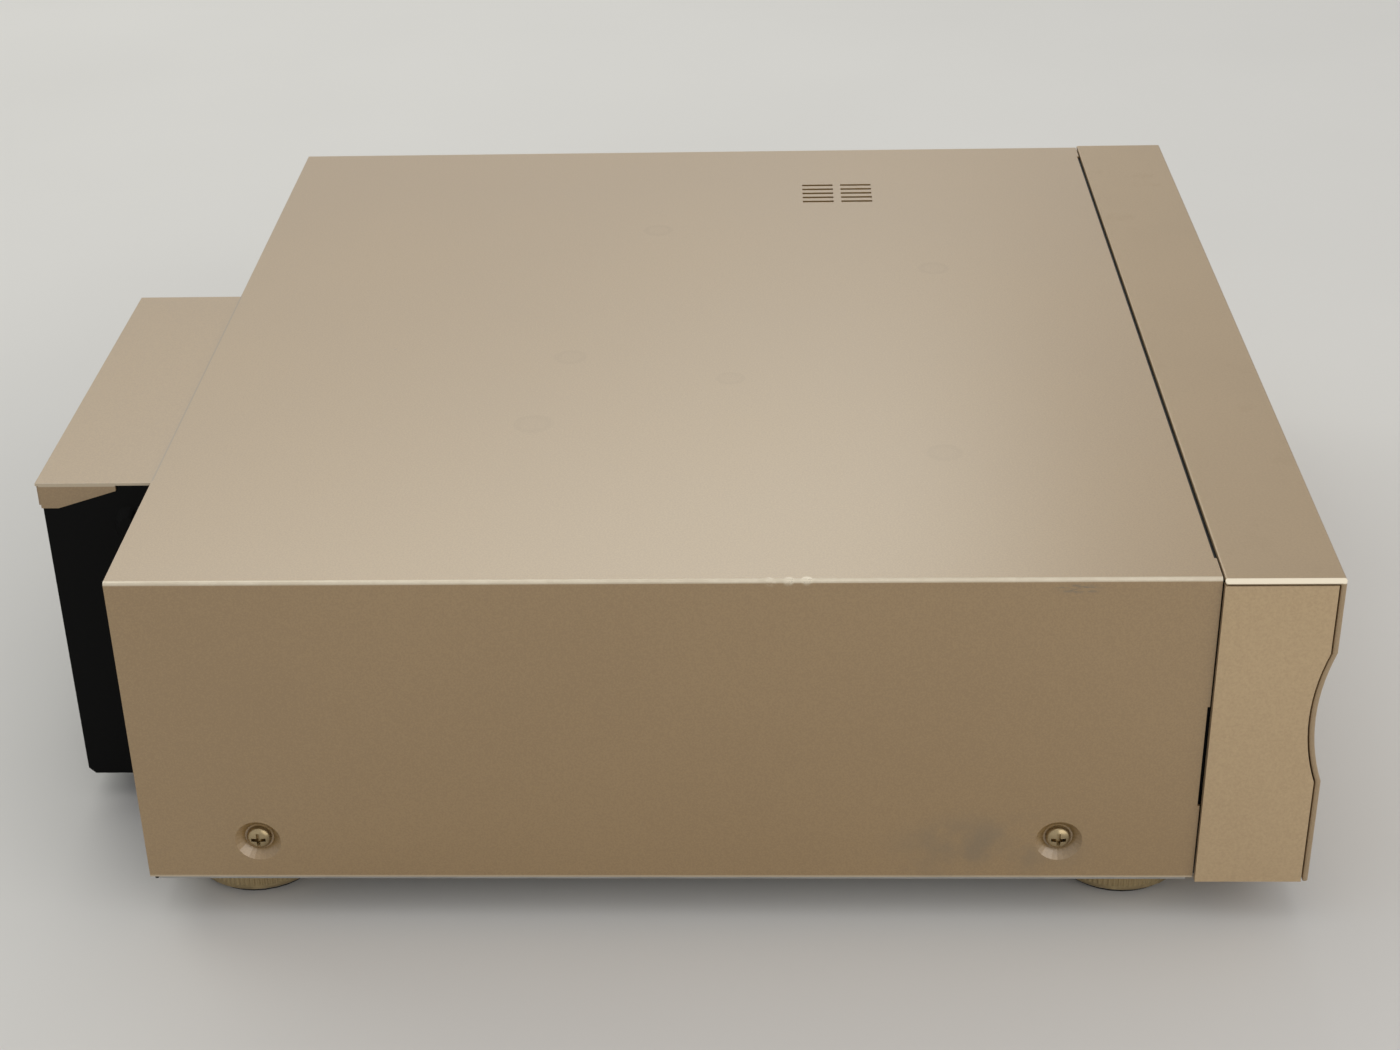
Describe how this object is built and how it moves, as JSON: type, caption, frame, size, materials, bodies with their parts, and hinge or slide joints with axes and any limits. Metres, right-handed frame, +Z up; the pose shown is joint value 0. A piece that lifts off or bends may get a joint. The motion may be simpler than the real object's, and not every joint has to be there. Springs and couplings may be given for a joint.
{
  "type": "laserdisc player",
  "caption": "Champagne laserdisc player with a sliding disc tray, turntable, disc clamp, travelling pickup and turnover cradle in a metal casing with a stepped rear housing.",
  "frame": {"origin": "on the surface the feet stand on, under the middle of the overall box", "axes": "+X to the player's right seen from its front, +Y from the front to the rear, +Z up"},
  "size_m": [0.42, 0.457, 0.1408],
  "materials": {
    "champagne_paint": "satin champagne paint with fine metal flake",
    "champagne_front": "satin champagne anodised",
    "black_plastic": "moulded, satin",
    "black_steel": "black painted sheet",
    "plated_steel": "zinc plated sheet",
    "bright_steel": "nickel plated",
    "foot_metal": "ribbed, champagne gold",
    "rubber": "matt",
    "smoked_window": "smoked, clear and glossy",
    "tray_grey": "fine moulded grain",
    "white_plastic": "natural acetal",
    "board_green": "solder resist",
    "board_tan": "phenolic board",
    "transformer_iron": "varnished laminations and die casting",
    "lens_glass": "coated lens"
  },
  "bodies": {
    "casing": {"top_cover": "champagne_paint", "front_cheek_left": "champagne_paint", "front_cheek_right": "champagne_paint", "front_panel": "champagne_front", "rear_housing": "black_plastic", "av_jacks": "black_plastic", "ac_inlet": "black_plastic", "rear_panel": "black_steel", "front_frame": "black_steel", "base_chassis": "plated_steel", "mech_chassis": "plated_steel", "clamp_bridge": "plated_steel", "turn_frame": "plated_steel", "loading_motor": "plated_steel", "spindle_motor": "plated_steel", "feed_motor": "plated_steel", "turn_motor": "plated_steel", "cover_screw_left_front": "bright_steel", "cover_screw_left_rear": "bright_steel", "cover_screw_right_front": "bright_steel", "cover_screw_right_rear": "bright_steel", "guide_rail_lower_left": "bright_steel", "guide_rail_lower_right": "bright_steel", "guide_rail_upper_left": "bright_steel", "guide_rail_upper_right": "bright_steel", "foot_front_left": "foot_metal", "foot_front_right": "foot_metal", "foot_rear_left": "foot_metal", "foot_rear_right": "foot_metal", "foot_pad_front_left": "rubber", "foot_pad_front_right": "rubber", "foot_pad_rear_left": "rubber", "foot_pad_rear_right": "rubber", "display_window": "smoked_window", "tray_rail_left": "white_plastic", "tray_rail_right": "white_plastic", "main_board": "board_green", "power_board": "board_tan", "display_board": "board_tan", "power_transformer": "transformer_iron"},
    "tray": {"disc_tray": "tray_grey", "tray_front": "champagne_front"},
    "loading_gear": {"loading_gear": "white_plastic"},
    "loading_pinion": {"loading_pinion": "white_plastic"},
    "turntable": {"turntable": "black_plastic"},
    "clamp_arm": {"clamp_arm": "plated_steel"},
    "clamper": {"clamper": "black_plastic"},
    "pickup": {"pickup_sled": "transformer_iron"},
    "lens": {"objective_lens": "lens_glass"},
    "feed_screw": {"feed_screw": "bright_steel"},
    "turn_cradle": {"turn_cradle": "white_plastic"},
    "turn_pinion": {"turn_pinion": "white_plastic"},
    "power_button": {"power_button": "champagne_front"},
    "open_close_button": {"open_close_button": "champagne_front"},
    "play_button": {"play_button": "champagne_front"},
    "pause_button": {"pause_button": "champagne_front"},
    "stop_button": {"stop_button": "champagne_front"},
    "skip_back_button": {"skip_back_button": "champagne_front"},
    "skip_forward_button": {"skip_forward_button": "champagne_front"},
    "side_button": {"side_button": "champagne_front"}
  },
  "joints": [
    {"name": "tray_slide", "type": "slide", "parent": "casing", "child": "tray", "axis": [0, -1, 0], "range_m": [0, 0.34]},
    {"name": "loading_gear_spin", "type": "hinge", "parent": "casing", "child": "loading_gear", "pos_m": [0.1175, -0.18, 0.0776], "axis": [1, 0, 0], "range_deg": [0, 1860]},
    {"name": "loading_pinion_spin", "type": "hinge", "parent": "casing", "child": "loading_pinion", "pos_m": [0.1175, -0.162, 0.0776], "axis": [1, 0, 0], "range_deg": [-2600, 0]},
    {"name": "turntable_spin", "type": "hinge", "parent": "casing", "child": "turntable", "pos_m": [-0.035, -0.032, 0.09525], "axis": [0, 0, 1], "continuous": true},
    {"name": "clamp_arm_tilt", "type": "hinge", "parent": "casing", "child": "clamp_arm", "pos_m": [-0.035, -0.084, 0.1195], "axis": [-1, 0, 0], "range_deg": [0, 4], "stiffness_Nm_per_rad": 0.1, "springref_deg": -20.05},
    {"name": "clamper_spin", "type": "hinge", "parent": "clamp_arm", "child": "clamper", "pos_m": [-0.035, -0.032, 0.10275], "axis": [0, 0, 1], "continuous": true},
    {"name": "pickup_feed", "type": "slide", "parent": "casing", "child": "pickup", "axis": [0, -1, 0], "range_m": [0, 0.09]},
    {"name": "lens_focus", "type": "slide", "parent": "pickup", "child": "lens", "axis": [0, 0, 1], "range_m": [-0.0004, 0.0004], "stiffness_N_per_m": 200},
    {"name": "feed_screw_spin", "type": "hinge", "parent": "casing", "child": "feed_screw", "pos_m": [-0.065, 0.012, 0.0675], "axis": [0, 1, 0], "range_deg": [0, 5401]},
    {"name": "pickup_turn", "type": "hinge", "parent": "casing", "child": "turn_cradle", "pos_m": [-0.035, 0.183, 0.0965], "axis": [1, 0, 0], "range_deg": [0, 180]},
    {"name": "turn_pinion_spin", "type": "hinge", "parent": "casing", "child": "turn_pinion", "pos_m": [-0.08225, 0.183, 0.0515], "axis": [1, 0, 0], "range_deg": [-901, 0]},
    {"name": "power_button_press", "type": "slide", "parent": "casing", "child": "power_button", "axis": [0, 1, 0], "range_m": [0, 0.001], "stiffness_N_per_m": 600},
    {"name": "open_close_button_press", "type": "slide", "parent": "casing", "child": "open_close_button", "axis": [0, 1, 0], "range_m": [0, 0.001], "stiffness_N_per_m": 600},
    {"name": "play_button_press", "type": "slide", "parent": "casing", "child": "play_button", "axis": [0, 1, 0], "range_m": [0, 0.001], "stiffness_N_per_m": 600},
    {"name": "pause_button_press", "type": "slide", "parent": "casing", "child": "pause_button", "axis": [0, 1, 0], "range_m": [0, 0.001], "stiffness_N_per_m": 600},
    {"name": "stop_button_press", "type": "slide", "parent": "casing", "child": "stop_button", "axis": [0, 1, 0], "range_m": [0, 0.001], "stiffness_N_per_m": 600},
    {"name": "skip_back_button_press", "type": "slide", "parent": "casing", "child": "skip_back_button", "axis": [0, 1, 0], "range_m": [0, 0.001], "stiffness_N_per_m": 600},
    {"name": "skip_forward_button_press", "type": "slide", "parent": "casing", "child": "skip_forward_button", "axis": [0, 1, 0], "range_m": [0, 0.001], "stiffness_N_per_m": 600},
    {"name": "side_button_press", "type": "slide", "parent": "casing", "child": "side_button", "axis": [0, 1, 0], "range_m": [0, 0.001], "stiffness_N_per_m": 600}
  ],
  "couplings": [
    {"joint": "loading_gear_spin", "follows": "tray_slide", "rad_per_m": 95.238},
    {"joint": "loading_pinion_spin", "follows": "tray_slide", "rad_per_m": -133.33},
    {"joint": "feed_screw_spin", "follows": "pickup_feed", "rad_per_m": 1047.2},
    {"joint": "turn_pinion_spin", "follows": "pickup_turn", "ratio": -5}
  ]
}
